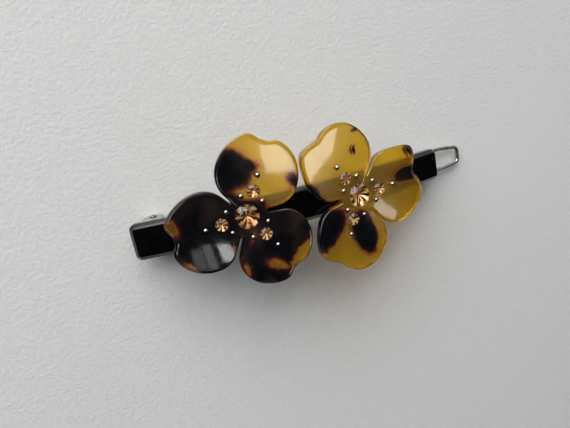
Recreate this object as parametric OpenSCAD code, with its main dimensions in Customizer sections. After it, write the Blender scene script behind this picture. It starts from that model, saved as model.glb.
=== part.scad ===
// Acetate barrette: a bowed bar with two three-petal flowers, set with stones
// and ball-headed pins, closed by a spring-wire loop.
// Millimetres. Origin: crown of the bar's underside, where the hair lies.
// +X runs along the bar towards the loop's closed end, +Y across it, +Z up.

/* [Bar] */
// Length of the bar's strip, measured round the top of its bow
bar_length = 80.2; // [66:0.1:98]
// Width of the bar
bar_width = 8; // [6.4:0.1:10]
// Thickness of the bar
bar_thick = 2.9; // [2.4:0.1:4]
// Radius that the bar's top is bowed to
bow_radius = 131; // [100:1:220]
// Chamfer along the bar's top edges
top_chamfer = 0.9; // [0.3:0.1:1.1]
// Chamfer along the bar's underside edges
under_chamfer = 0.3; // [0.1:0.1:0.6]
// Radius of the bar's corners seen from above
corner_radius = 1.4; // [0.5:0.1:2]

/* [Flowers] */
// Thickness of the flowers' sheet
flower_thick = 2; // [1.6:0.1:3]
// Radius of the flat middle, before the petals start to rise
flat_radius = 1.5; // [1:0.1:3]
// Rise of a petal, per millimetre squared beyond the flat middle
cup = 0.0058; // [0:0.0002:0.012]
// Radius of the disc that joins the three petals
hub_radius = 4.8; // [4:0.1:6]
// Distance from the flower's centre to the middle of a petal's round blade
petal_middle = 8.8; // [8:0.1:10]
// Half the angle that the tip's notch takes up
notch_angle = 16; // [10:1:22]
// Left flower: place along the bar's top from its middle
left_along = -15.2; // [-20:0.1:-14]
// Left flower: place across the bar
left_across = 1; // [-2:0.1:2]
// Left flower: direction of its first petal
left_turn = 184.8; // [170:0.1:200]
// Right flower: place along the bar's top from its middle
right_along = 11.1; // [10:0.1:18]
// Right flower: place across the bar
right_across = -0.9; // [-2:0.1:2]
// Right flower: direction of its first petal
right_turn = 123.1; // [110:0.1:135]

/* [Stones and pins] */
// Diameter of each flower's centre stone
centre_stone_d = 5.3; // [4:0.1:6]
// Diameter of the stone on each petal
petal_stone_d = 2.8; // [2:0.1:3.4]
// Distance of the petal stones from the flower's centre
petal_stone_at = 5.6; // [5:0.1:6.4]
// Diameter of the ball head of a pin
ball_d = 1.1; // [0.9:0.1:1.5]
// Diameter of the shank of a pin
pin_d = 0.7; // [0.5:0.05:0.9]
// Distance of the outer pins from the flower's centre
outer_pin_at = 9.1; // [8.5:0.1:10]
// Distance of the flanking pins from the flower's centre
flank_pin_at = 4.6; // [4.4:0.1:5]
// Angle of the flanking pins to each side of their petal's middle
flank_pin_angle = 30.5; // [26:0.5:34]
// Play between a stone or pin and its seat
setting_play = 0.03; // [0.01:0.01:0.08]

/* [Clasp] */
// Thickness of the spring wire
wire_d = 1; // [0.7:0.05:1.2]
// Distance between the middles of the wire's two legs
leg_spacing = 5.5; // [5:0.1:6]
// Radius of the wire's small bends at the hinge
pivot_bend = 0.7; // [0.6:0.05:0.9]
// Radius of the wire's corners at the closed end
loop_corner = 1.3; // [0.8:0.1:1.6]
// Distance between the legs' middles at the closed end
loop_end_width = 4.4; // [4:0.1:5.4]
// Length of the closed end beyond the catch
loop_reach = 15.6; // [12:0.1:20]
// Height that the wire is bowed between hinge and catch
wire_bow = 1.2; // [0.4:0.1:3]
// Radial play of the wire in the bracket's ears
pivot_play = 0.05; // [0.02:0.01:0.1]
// Gap between the wire's small bends and the ears
ear_gap = 0.05; // [0.02:0.01:0.2]
// Diameter of the flattened heads on the wire's ends
wire_head_d = 1.5; // [1.3:0.1:2]
// Thickness of the flattened heads
wire_head_t = 0.3; // [0.2:0.05:0.5]
// Distance of the hinge from the bar's end, round the top of the bow
hinge_from_end = 4.6; // [4:0.1:8]
// Depth of the hinge's axis below the bar
pivot_drop = 2.4; // [2.1:0.1:3.5]
// Sheet that the bracket and the catch plate are stamped from
sheet_t = 0.5; // [0.4:0.05:0.7]
// Radius of the ears' rounded ends
ear_radius = 2.2; // [1.6:0.1:2.6]
// Distance of the catch from the bar's end, round the top of the bow
catch_from_end = 5.2; // [4.5:0.1:9]
// Gap between the catch's ball and each leg of the wire
catch_gap = 0.3; // [0.1:0.05:0.6]
// Depth of the ball's top below the bar
catch_drop = 1.05; // [0.8:0.05:1.6]
// Diameter of the catch's neck
catch_neck_d = 2; // [1.4:0.1:2.6]
// Diameter of the rivets' shanks
rivet_d = 1; // [0.8:0.1:1.2]
// Length of the rivets' shanks inside the bar
rivet_grip = 1.8; // [1.2:0.1:2]

/* [Hidden] */
$fn = 48;
SIDES = ["left", "right"];

// Each petal: half width, reach without its notch, sideways shift, direction of the notch,
// swelling of the lobe beside it, depth of the notch, narrowing to the hub on its right and left.
LEFT_PETALS = [[8.7, 17.6, 0.6, -7, -0.5, 1.7, 1.6, 2.6],
               [8.9, 16.5, -0.6, -1, -0.1, 1.0, 2.6, 2.3],
               [8.9, 17.7, 0, 5, 0.4, 1.3, 1.8, 1.3]];
RIGHT_PETALS = [[9, 18.5, -1, 11, 1.2, 1.1, 1.6, 2.0],
                [9.3, 17.4, 1, -24, -1.0, 0.7, 2.6, 2.8],
                [8.8, 17.6, -0.6, 30, 2.4, 0.8, 2.9, 3.3]];

inner_radius = bow_radius - bar_thick;
half_bow = bar_length / 2 / bow_radius * 180 / PI;
half_chord = bow_radius * sin(half_bow);
overshoot = 1;
ball_lift = 0.2;
pin_length = flower_thick - 0.4;
pin_in_bar = 1.6;
pin_edge_room = 1;

function is_left(side) = side == "left";
function petals(side) = is_left(side) ? LEFT_PETALS : RIGHT_PETALS;
function turn(side) = is_left(side) ? left_turn : right_turn;
function along(side) = is_left(side) ? left_along : right_along;
function across(side) = is_left(side) ? left_across : right_across;
function bow_angle(s) = s / bow_radius * 180 / PI;
function rise(r) = cup * pow(max(0, r - flat_radius), 2);

// Distance from the middle of a petal's blade to its rim, in direction phi.
function tip_swell(phi, p) = abs(phi) < 90 ? (p[1] - petal_middle - p[0]) * pow(cos(phi), 2) : 0;
function taper(phi, p) = phi < 0 ? p[6] : p[7];
function narrowing(phi, p) = abs(phi) > 90 ? taper(phi, p) * pow((abs(phi) - 90) / 54, 2) : 0;
function notch_x(phi, p) = (phi - p[3]) / notch_angle;
function petal_rim(phi, p) = p[0] + tip_swell(phi, p) - narrowing(phi, p)
    - p[5] * exp(-pow(abs(notch_x(phi, p)), 3))
    + p[4] * notch_x(phi, p) * exp(-pow(notch_x(phi, p) / 1.7, 2));

// Pins 1 to 3 sit beyond the petal stones, 4 to 9 beside them.
function pin_radius(k) = k <= 3 ? outer_pin_at : flank_pin_at;
function pin_angle(k) = k <= 3 ? (k - 1) * 120
    : floor((k - 4) / 2) * 120 + (k % 2 == 0 ? -flank_pin_angle : flank_pin_angle);
function pin_y(side, k) = across(side) + pin_radius(k) * sin(turn(side) + pin_angle(k));
function over_bar(side, k) = abs(pin_y(side, k)) < bar_width / 2 - pin_edge_room;
function pin_reach(side, k) = over_bar(side, k) ? flower_thick + pin_in_bar : pin_length;

module on_bar(s) {
    translate([0, 0, -inner_radius]) rotate([0, bow_angle(s), 0])
        translate([0, 0, bow_radius]) children();
}

module under_bar(s) {
    translate([0, 0, -inner_radius]) rotate([0, bow_angle(s), 0])
        translate([0, 0, inner_radius]) children();
}

module at_flower(side) {
    on_bar(along(side)) translate([0, across(side), flower_thick])
        rotate([0, 0, turn(side)]) children();
}

module at_polar(r, angle) {
    rotate([0, 0, angle]) translate([r, 0, rise(r)]) children();
}

// ---- bar ----
module bar_section() {
    w = bar_width / 2;
    polygon([[inner_radius, -w + under_chamfer], [inner_radius + under_chamfer, -w],
             [bow_radius - top_chamfer, -w], [bow_radius, -w + top_chamfer],
             [bow_radius, w - top_chamfer], [bow_radius - top_chamfer, w],
             [inner_radius + under_chamfer, w], [inner_radius, w - under_chamfer]]);
}

module bowed_bar() {
    translate([0, 0, -inner_radius]) rotate([90, 0, 0])
        rotate_extrude(angle = 2 * half_bow, start = 90 - half_bow, $fn = 96) bar_section();
}

module bar_plan() {
    a = half_chord - corner_radius;
    b = bar_width / 2 - corner_radius;
    union() {
        square([2 * half_chord + 2 * overshoot, 2 * b], center = true);
        square([2 * a, bar_width + 2 * overshoot], center = true);
        for (x = [-a, a], y = [-b, b]) translate([x, y]) circle(r = corner_radius);
    }
}

module end_chamfers() {
    for (s = [-1, 1]) on_bar(s * bar_length / 2)
        rotate([0, s * 45, 0]) translate([0, 0, bar_width - top_chamfer * sqrt(1 / 2)])
            cube(2 * bar_width, center = true);
}

module pin_holes_in_bar() {
    for (side = SIDES, k = [1:9]) if (over_bar(side, k))
        at_flower(side) at_polar(pin_radius(k), pin_angle(k))
            translate([0, 0, -pin_reach(side, k) - setting_play])
                cylinder(d = pin_d + 2 * setting_play, h = pin_reach(side, k));
}

module bar() {
    color([0.02, 0.02, 0.022]) difference() {
        intersection() {
            bowed_bar();
            translate([0, 0, -2 * bar_width]) linear_extrude(3 * bar_width) bar_plan();
        }
        end_chamfers();
        pin_holes_in_bar();
        for (side = SIDES) at_flower(side) stone_seat(centre_stone_d);
        rivet_holes(-1);
        rivet_holes(1);
    }
}

// ---- flowers ----
module petal_outline(p) {
    translate([petal_middle, p[2]]) polygon(concat(
        [for (phi = [-150:5:150]) petal_rim(phi, p) * [cos(phi), sin(phi)]],
        [[-petal_middle, -p[2]]]));
}

module flower_outline(side) {
    circle(r = hub_radius);
    for (k = [0:2]) rotate(120 * k) petal_outline(petals(side)[k]);
}

// The heat-formed sheet: flat in the middle, rising towards the rims.
module cupped_sheet() {
    rings = [0, flat_radius, 5, 9, 13, 17, 22];
    rotate_extrude() polygon(concat(
        [for (r = rings) [r, rise(r)]],
        [for (i = [len(rings) - 1:-1:0]) [rings[i], rise(rings[i]) - flower_thick]]));
}

module stone_seat(d) {
    girdle = 0.3 * d / 5.3;
    r = d / 2 + setting_play;
    translate([0, 0, -girdle]) cylinder(r = r, h = 4 * girdle + overshoot);
    translate([0, 0, -girdle - stone_depth(d)])
        cylinder(r1 = stone_culet(d) + setting_play, r2 = r, h = stone_depth(d));
}

module pin_seat(reach) {
    translate([0, 0, ball_lift - ball_d / 2 - setting_play])
        cylinder(d = ball_d + 0.36, h = ball_d);
    translate([0, 0, -reach - overshoot]) cylinder(d = pin_d + 2 * setting_play, h = reach + overshoot);
}

module short_pin_seat() {
    translate([0, 0, ball_lift - ball_d / 2 - setting_play])
        cylinder(d = ball_d + 0.36, h = ball_d);
    translate([0, 0, -pin_length - setting_play])
        cylinder(d = pin_d + 2 * setting_play, h = pin_length);
}

module flower(side) {
    color([0.62, 0.42, 0.12]) at_flower(side) difference() {
        intersection() {
            translate([0, 0, -flower_thick - overshoot])
                linear_extrude(flower_thick + 5) flower_outline(side);
            cupped_sheet();
        }
        stone_seat(centre_stone_d);
        for (k = [0:2]) at_polar(petal_stone_at, 120 * k) stone_seat(petal_stone_d);
        for (k = [1:9]) at_polar(pin_radius(k), pin_angle(k))
            if (over_bar(side, k)) pin_seat(pin_reach(side, k)); else short_pin_seat();
    }
}

// ---- stones ----
function stone_depth(d) = 0.26 * d;
function stone_culet(d) = 0.06 * d;
function stone_crown(d) = 0.2 * d;

module stone(d) {
    girdle = 0.3 * d / 5.3;
    color([0.85, 0.62, 0.38]) {
        translate([0, 0, -girdle]) {
            cylinder(d = d, h = girdle);
            translate([0, 0, -stone_depth(d)]) cylinder(r1 = stone_culet(d), r2 = d / 2, h = stone_depth(d));
        }
        cylinder(r1 = d / 2, r2 = 0.3 * d, h = stone_crown(d));
    }
}

module centre_stone(side) {
    at_flower(side) stone(centre_stone_d);
}

module petal_stone(side, k) {
    at_flower(side) at_polar(petal_stone_at, 120 * (k - 1)) stone(petal_stone_d);
}

// ---- pins ----
module ball_pin(side, k) {
    reach = pin_reach(side, k);
    color([0.8, 0.8, 0.78]) at_flower(side) at_polar(pin_radius(k), pin_angle(k)) {
        translate([0, 0, ball_lift]) sphere(d = ball_d, $fn = 32);
        translate([0, 0, -reach]) cylinder(d = pin_d, h = reach + ball_lift, $fn = 24);
    }
}

// ---- clasp: bracket, wire, catch ----
hinge_s = -bar_length / 2 + hinge_from_end;
catch_s = bar_length / 2 - catch_from_end;
leg_y = leg_spacing / 2;
ear_inner = leg_y + pivot_bend + ear_gap;
ear_outer = ear_inner + sheet_t;
catch_ball_d = leg_spacing - wire_d - 2 * catch_gap;
ball_depth = catch_drop + catch_ball_d / 2;
plate_length = 2 * ear_radius + 0.8;
rivet_spacing = plate_length - 2.2;
catch_plate_length = 5.4;
catch_rivet_spacing = 3.8;

module rivet_positions(end) {
    if (end < 0) under_bar(hinge_s)
        for (x = [-1, 1]) translate([x * rivet_spacing / 2, 0, 0]) children();
    else under_bar(catch_s)
        for (x = [-1, 1]) translate([x * catch_rivet_spacing / 2, 0, 0]) children();
}

module rivet_holes(end) {
    rivet_positions(end) translate([0, 0, -overshoot])
        cylinder(d = rivet_d + 2 * setting_play, h = rivet_grip + overshoot + setting_play);
}

module rivets(end) {
    under = sheet_t + plate_sag(end < 0 ? plate_length : catch_plate_length);
    color([0.75, 0.75, 0.73]) rivet_positions(end) translate([0, 0, -under]) {
        cylinder(d = rivet_d, h = rivet_grip + under);
        intersection() {
            translate([0, 0, 0.7 * rivet_d]) sphere(r = 1.15 * rivet_d);
            translate([0, 0, -rivet_d / 2]) cube([2 * rivet_d, 2 * rivet_d, rivet_d], center = true);
        }
    }
}

// A flat plate touches the bowed underside along its two end edges.
function plate_sag(length) = length * length / 8 / inner_radius + 0.01;

module plate(length, width) {
    translate([-length / 2, -width / 2, -sheet_t - plate_sag(length)]) cube([length, width, sheet_t]);
}

module ear() {
    rotate([90, 0, 0]) {
        cylinder(r = ear_radius, h = sheet_t);
        translate([-ear_radius, 0, 0])
            cube([2 * ear_radius, pivot_drop - plate_sag(plate_length), sheet_t]);
    }
}

module hinge_bracket() {
    color([0.72, 0.71, 0.68]) difference() {
        under_bar(hinge_s) {
            plate(plate_length, 2 * ear_inner + sheet_t);
            for (y = [ear_outer, -ear_inner]) translate([0, y, -pivot_drop]) ear();
        }
        under_bar(hinge_s) translate([0, 0, -pivot_drop]) rotate([90, 0, 0])
            cylinder(d = wire_d + 2 * pivot_play, h = 3 * bar_width, center = true);
        rivet_positions(-1) cylinder(d = rivet_d + 2 * setting_play, h = 4 * sheet_t, center = true);
    }
}

// The wire, in the frame of its pivot: a bend at each ear, two bowed legs,
// then a flat loop that narrows a little to its closed end.
pivot_x = (inner_radius - pivot_drop) * sin(bow_angle(hinge_s));
pivot_z = (inner_radius - pivot_drop) * cos(bow_angle(hinge_s)) - inner_radius;
catch_x = inner_radius * sin(bow_angle(catch_s));
leg_chord = catch_x - pivot_x;
leg_radius = leg_chord * leg_chord / 8 / wire_bow + wire_bow / 2;
leg_angle = 2 * asin(leg_chord / 2 / leg_radius);
leg_parts = 4;
sleeve_growth = 0.04;
sleeve_length = 0.08;
toe_length = 4.7;
toe_angle = atan((leg_spacing - loop_end_width) / 2 / toe_length);
loop_straight = loop_reach - toe_length - loop_corner;

module wire_arc(radius, start, angle) {
    rotate_extrude(angle = angle, start = start, $fn = 72)
        translate([radius, 0]) circle(d = wire_d, $fn = 24);
}

module wire_run(length) {
    rotate([0, 90, 0]) cylinder(d = wire_d, h = length, $fn = 24);
}

// Where two stretches of the wire meet, a short sleeve a hair thicker than the wire joins them.
module sleeve() {
    rotate([0, 90, 0]) cylinder(d = wire_d + sleeve_growth, h = sleeve_length, center = true, $fn = 32);
}

module pivot_end() {
    stub = ear_outer + pivot_play + wire_head_t - leg_y - pivot_bend;
    translate([pivot_bend, leg_y + pivot_bend, 0]) wire_arc(pivot_bend, 180, 90);
    translate([pivot_bend, leg_y, 0]) sleeve();
    translate([0, leg_y + pivot_bend, 0]) rotate([0, 0, 90]) sleeve();
    translate([0, leg_y + pivot_bend, 0]) rotate([-90, 0, 0]) {
        cylinder(d = wire_d, h = stub, $fn = 24);
        translate([0, 0, stub - wire_head_t]) cylinder(d = wire_head_d, h = wire_head_t, $fn = 32);
    }
}

// The place on a leg's middle line that lies an angle round its bow from the hinge.
module at_leg(angle) {
    translate([pivot_bend + leg_radius * sin(angle), 0, leg_radius * (cos(angle) - 1)])
        rotate([0, angle, 0]) children();
}

// A leg is straight runs that touch its bow at equal steps and meet at faint kinks.
module bowed_leg() {
    step = leg_angle / leg_parts;
    half = leg_radius * tan(step / 2);
    for (i = [0:leg_parts]) at_leg(i * step) translate([0, leg_y, 0]) {
        back = i > 0 ? half : 0;
        ahead = i < leg_parts ? half : 0;
        translate([-back, 0, 0]) wire_run(back + ahead);
        if (i < leg_parts) translate([half, 0, 0]) sleeve();
    }
}

module loop_half() {
    turn = 90 - toe_angle;
    translate([0, leg_y, 0]) sleeve();
    translate([0, leg_y, 0]) wire_run(loop_straight);
    translate([loop_straight, leg_y, 0]) rotate([0, 0, -toe_angle]) {
        sleeve();
        wire_run(toe_length);
        translate([toe_length, 0, 0]) sleeve();
        translate([toe_length, -loop_corner, 0]) wire_arc(loop_corner, 90 - turn, turn);
    }
}

module closed_end() {
    corner_y = leg_y - toe_length * sin(toe_angle) - loop_corner * cos(toe_angle);
    x = loop_straight + toe_length * cos(toe_angle) - loop_corner * sin(toe_angle) + loop_corner;
    for (y = [-corner_y, corner_y]) translate([x, y, 0]) rotate([0, 0, 90]) sleeve();
    translate([x, -corner_y, 0]) rotate([-90, 0, 0]) cylinder(d = wire_d, h = 2 * corner_y, $fn = 24);
}

module wire_loop() {
    color([0.7, 0.68, 0.62]) translate([pivot_x, 0, pivot_z]) rotate([0, -leg_angle / 2, 0]) {
        for (m = [0, 1]) mirror([0, m, 0]) {
            pivot_end();
            bowed_leg();
        }
        at_leg(leg_angle) {
            for (m = [0, 1]) mirror([0, m, 0]) loop_half();
            closed_end();
        }
    }
}

module catch_plate() {
    color([0.72, 0.71, 0.68]) difference() {
        under_bar(catch_s) plate(catch_plate_length, catch_plate_length - 1);
        rivet_positions(1) cylinder(d = rivet_d + 2 * setting_play, h = 4 * sheet_t, center = true);
    }
}

module catch_ball() {
    color([0.8, 0.8, 0.78]) under_bar(catch_s) {
        translate([0, 0, -ball_depth]) {
            sphere(d = catch_ball_d);
            cylinder(d = catch_neck_d, h = ball_depth - sheet_t - plate_sag(catch_plate_length), $fn = 32);
        }
    }
}

bar();
for (side = SIDES) {
    flower(side);
    centre_stone(side);
    for (k = [1:3]) petal_stone(side, k);
    for (k = [1:9]) ball_pin(side, k);
}
hinge_bracket();
rivets(-1);  // hinge_rivets
wire_loop();
catch_plate();
rivets(1);  // catch_rivets
catch_ball();
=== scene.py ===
# %% [markdown]
# # A tortoiseshell barrette, piece by piece
# The hair clip is a bowed bar of black acetate that carries two three-petal flowers cut from tortoiseshell
# sheet. Foil-backed stones and small ball-headed pins decorate them, and a spring wire closes it underneath.
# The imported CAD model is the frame: it fixes every size and says which piece moves with which body.
# Pieces could be drawn by eye around it, but working from the same few dimensions keeps both models alike.

# %% Bring in the frame
import math

import bmesh
import bpy
import numpy as np
from mathutils import Matrix, Vector


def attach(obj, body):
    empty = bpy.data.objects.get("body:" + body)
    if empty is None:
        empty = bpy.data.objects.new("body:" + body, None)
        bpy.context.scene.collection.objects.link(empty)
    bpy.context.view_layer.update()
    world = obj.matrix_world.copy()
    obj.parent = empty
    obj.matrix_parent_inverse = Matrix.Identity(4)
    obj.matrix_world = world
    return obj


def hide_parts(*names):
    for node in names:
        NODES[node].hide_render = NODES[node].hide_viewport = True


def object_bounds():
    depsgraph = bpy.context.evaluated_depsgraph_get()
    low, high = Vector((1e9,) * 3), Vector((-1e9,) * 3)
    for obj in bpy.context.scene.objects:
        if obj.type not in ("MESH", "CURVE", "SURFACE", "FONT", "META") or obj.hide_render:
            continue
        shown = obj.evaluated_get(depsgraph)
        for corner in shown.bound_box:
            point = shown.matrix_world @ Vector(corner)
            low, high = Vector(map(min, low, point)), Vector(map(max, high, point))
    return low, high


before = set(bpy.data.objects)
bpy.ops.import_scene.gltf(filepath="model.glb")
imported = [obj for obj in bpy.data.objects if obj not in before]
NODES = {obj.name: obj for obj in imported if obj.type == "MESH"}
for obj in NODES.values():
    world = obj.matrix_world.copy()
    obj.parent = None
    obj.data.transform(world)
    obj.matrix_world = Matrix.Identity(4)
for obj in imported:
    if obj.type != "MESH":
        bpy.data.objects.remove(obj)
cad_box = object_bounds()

MM = 0.001

# %% [markdown]
# ## The bow
# Everything sits on or under one bowed strip, so a place is given as a length round the bow, a distance
# across it and a height. A lattice or curve modifier could bend a flat model instead. A small matrix is
# exact, and it keeps the flowers and the clasp unbent, as the stiff pieces of the real clip are.

# %% The bow's matrix
BOW_RADIUS = 131.0
BAR_LENGTH, BAR_WIDTH, BAR_THICK = 80.2, 8.0, 2.9
INNER_RADIUS = BOW_RADIUS - BAR_THICK
FLOWER_THICK = 2.0


def on_bow(along, across=0.0, height=0.0):
    """Millimetre frame that stands on the bow: along its top, across it, above its underside."""
    lean = Matrix.Rotation(along / BOW_RADIUS, 4, "Y")
    down = Matrix.Translation((0, 0, -INNER_RADIUS))
    return down @ lean @ Matrix.Translation((0, across, INNER_RADIUS + height))


def placed(points, matrix):
    """Points in millimetres, moved by a matrix and turned to metres."""
    turn, shift = np.array(matrix.to_3x3()), np.array(matrix.translation)
    return (np.asarray(points, float) @ turn.T + shift) * MM


print("the bar's ends drop", round(-on_bow(BAR_LENGTH / 2).translation.z, 2), "mm")

# %% [markdown]
# ## Helpers for meshes
# Each piece starts as plain lists of corners and faces. Blender can also build them from primitives in edit
# mode, but lists keep every size in view. Sharp edges are found by angle, so polished faces shade smoothly.


# %% Mesh helpers
def new_mesh(name, points, faces, sharp=30):
    """A mesh object at the origin, smooth except at edges sharper than the angle."""
    mesh = bpy.data.meshes.new(name)
    mesh.from_pydata([tuple(p) for p in points], [], faces)
    shape = bmesh.new()
    shape.from_mesh(mesh)
    bmesh.ops.recalc_face_normals(shape, faces=shape.faces)
    shape.to_mesh(mesh)
    shape.free()
    mesh.shade_smooth()
    mesh.set_sharp_from_angle(angle=math.radians(sharp))
    piece = bpy.data.objects.new(name, mesh)
    bpy.context.scene.collection.objects.link(piece)
    return piece


def applied(piece, sharp=30):
    """The piece with its modifiers turned into plain mesh."""
    graph = bpy.context.evaluated_depsgraph_get()
    mesh = bpy.data.meshes.new_from_object(piece.evaluated_get(graph))
    piece.modifiers.clear()
    piece.data = mesh
    mesh.shade_smooth()
    mesh.set_sharp_from_angle(angle=math.radians(sharp))
    return piece


def rounded_edges(piece, width, sharp=30):
    """Takes the sharpness off edges with a narrow bevel."""
    bevel = piece.modifiers.new("edges", "BEVEL")
    bevel.width, bevel.segments = width, 3
    bevel.limit_method, bevel.angle_limit = "ANGLE", math.radians(sharp)
    return applied(piece, sharp)


def turned(profile, steps=48):
    """A closed solid of revolution about Z, from (radius, height) pairs that start and end on the axis."""
    inner = profile[1:-1]
    angles = [2 * math.pi * k / steps for k in range(steps)]
    points = [(0, 0, profile[0][1])]
    points += [(r * math.cos(a), r * math.sin(a), z) for r, z in inner for a in angles]
    points.append((0, 0, profile[-1][1]))
    faces = ring_faces(1, len(inner), steps)
    last = len(points) - 1
    first_ring, last_ring = 1, 1 + (len(inner) - 1) * steps
    for k in range(steps):
        after = (k + 1) % steps
        faces += [(0, first_ring + after, first_ring + k), (last, last_ring + k, last_ring + after)]
    return points, faces


def ring_faces(start, rings, steps):
    """Quads between neighbouring rings of equal length."""
    faces = []
    for ring in range(rings - 1):
        low, high = start + ring * steps, start + (ring + 1) * steps
        faces += [(low + k, low + (k + 1) % steps, high + (k + 1) % steps, high + k) for k in range(steps)]
    return faces


def ready(piece, material, slot, body, *nodes):
    """Gives a finished piece its material, parents it to its body's empty and hides the CAD nodes it stands for.
    """
    if material:
        piece.data.materials.clear()
        piece.data.materials.append(material)
    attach(piece, body)
    if nodes:
        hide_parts(*nodes)
    print(piece.name, len(piece.data.polygons), "faces, rides on", body)
    return piece


# %% [markdown]
# ## Camera
# The clip lies on a table and is seen from steeply above its left end. The camera could be aimed with a
# Track To constraint. Its three axes are written out instead, because the view is also rolled a little.

# %% Place the camera
camera_data = bpy.data.cameras.new("camera")
camera_data.sensor_width, camera_data.lens = 36.0, 27.56
camera_data.clip_start = 0.01
camera = bpy.data.objects.new("camera", camera_data)
bpy.context.scene.collection.objects.link(camera)
right = Vector((0.92208, -0.19125, 0.33645))
forward = Vector((0.29250, -0.22486, -0.92945))
up = right.cross(forward)
camera.matrix_world = Matrix.Translation(Vector((-34.87, 20.74, 92.25)) * MM) @ Matrix(
    (right, up, -forward)).transposed().to_4x4()
bpy.context.scene.camera = camera
print("camera", round((camera.matrix_world.translation.z - cad_box[0][2]) / MM), "mm above the table")

# %% [markdown]
# ## Table and light
# A sheet of pale paper lies under the clip. One broad window light comes from behind it. The room is bright on
# that side too and dark overhead, so the polish mirrors little there but a few small panes. A picture of a room
# could light the scene as well, but lamps are easier to move and to understand.

# %% Paper and lamps
FLOOR_SIZE = 1.6


def shader(name):
    """A new node material and its Principled shader."""
    material = bpy.data.materials.new(name)
    material.use_nodes = True
    return material, material.node_tree, material.node_tree.nodes["Principled BSDF"]


def node(tree, kind, settings=None, **values):
    """Adds a shader node, sets its properties, and fills inputs by name or links them."""
    made = tree.nodes.new(kind)
    for key, value in (settings or {}).items():
        setattr(made, key, value)
    for key, value in values.items():
        socket = made.inputs[int(key[1:])] if key[0] == "i" and key[1:].isdigit() else made.inputs[key]
        if isinstance(value, bpy.types.NodeSocket):
            tree.links.new(value, socket)
        else:
            socket.default_value = value
    return made


def object_noise(tree, scale, detail=3.0, roughness=0.5, stretch=(1, 1, 1)):
    """Noise on object coordinates: scale is the number of features in a millimetre."""
    place = node(tree, "ShaderNodeTexCoord").outputs["Object"]
    spread = node(tree, "ShaderNodeMapping", i0=place, Scale=tuple(1000 * scale * s for s in stretch))
    noise = node(tree, "ShaderNodeTexNoise", Vector=spread.outputs[0], Scale=1.0, Detail=detail)
    noise.inputs["Roughness"].default_value = roughness
    return noise.outputs["Fac"]


def ramp(tree, factor, *stops):
    """A colour ramp: each stop is a place and a colour or a grey."""
    made = node(tree, "ShaderNodeValToRGB", Fac=factor)
    band = made.color_ramp.elements
    while len(band) < len(stops):
        band.new(0.5)
    for element, (place, colour) in zip(band, stops):
        element.position = place
        element.color = (*colour, 1) if isinstance(colour, tuple) else (colour, colour, colour, 1)
    return made.outputs["Color"]


def bumped(tree, principled, height, distance):
    """Feeds a height in millimetres to the shader's normal."""
    bump = node(tree, "ShaderNodeBump", Height=height, Distance=distance * MM, Strength=1.0)
    tree.links.new(bump.outputs["Normal"], principled.inputs["Normal"])


paper, tree, principled = shader("paper")
fibres = object_noise(tree, 1.2, detail=6.0, roughness=0.7)
tree.links.new(ramp(tree, fibres, (0.3, (0.73, 0.735, 0.735)), (0.7, (0.80, 0.80, 0.79))),
               principled.inputs["Base Color"])
principled.inputs["Roughness"].default_value = 0.9
bumped(tree, principled, fibres, 0.16)
floor_z = cad_box[0][2] - 0.00002
half = FLOOR_SIZE / 2
table = new_mesh("table", [(-half, -half, floor_z), (half, -half, floor_z), (half, half, floor_z),
                           (-half, half, floor_z)], [(0, 1, 2, 3)])
table.data.materials.append(paper)


def lamp(name, centre, size, power, aim=(0, 0, 0), colour=(1, 1, 1)):
    """An area lamp in metres that faces its aim."""
    data = bpy.data.lights.new(name, "AREA")
    data.shape, data.size, data.size_y = "RECTANGLE", size[0], size[1]
    data.energy, data.color = power, colour
    made = bpy.data.objects.new(name, data)
    made.location = centre
    made.rotation_euler = (Vector(aim) - Vector(centre)).to_track_quat("-Z", "Y").to_euler()
    bpy.context.scene.collection.objects.link(made)
    return made


def pane(name, left, low, wide, deep, brightness, height=0.45, spin=0):
    """A small bright pane overhead, in millimetres; brightness is its radiance and spin turns it."""
    area = wide * deep * MM * MM
    centre = ((left + wide / 2) * MM, (low + deep / 2) * MM, height)
    below = (centre[0], centre[1], 0)
    made = lamp(name, centre, (wide * MM, deep * MM), brightness * math.pi * area, aim=below)
    made.rotation_euler.z += math.radians(spin)
    return made


lamp("window", (-0.22, 0.42, 0.30), (0.86, 0.50), 4.0, colour=(1.0, 0.99, 0.97))
pane("pane_over_left", -75, -165, 38, 43, 6.0)
pane("pane_over_right", 418, -230, 140, 56, 5.5)
pane("pane_right_strip", 281, -103, 56, 7, 6.0, spin=-30)
pane("pane_left_small", -12, -85, 9, 15, 9.0)
pane("pane_left_middle", 2, -86, 7, 20, 2.2)
pane("pane_left_end", 10, -84, 9, 17, 1.4)

room = bpy.data.worlds.new("room")
bpy.context.scene.world = room
room.use_nodes = True
sky = room.node_tree
towards = node(sky, "ShaderNodeTexCoord").outputs["Generated"]
side_on = node(sky, "ShaderNodeVectorMath", {"operation": "DOT_PRODUCT"}, i0=towards, i1=(-0.1, 0.95, 0.0))
glow = ramp(sky, side_on.outputs["Value"], (0.2, (0.012, 0.014, 0.018)), (0.5, (0.62, 0.65, 0.68)),
            (0.95, (1.7, 1.7, 1.65)))
sky.links.new(glow, sky.nodes["Background"].inputs["Color"])
sky.nodes["Background"].inputs["Strength"].default_value = 1.0
bpy.context.scene.view_settings.view_transform = "Standard"

# %% [markdown]
# ## Black acetate
# The bar is polished black sheet. It is never perfectly smooth: fine rub marks and a faint waviness break the
# highlights along its chamfers. A flat black with zero roughness would look like a computer's idea of plastic.

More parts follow.
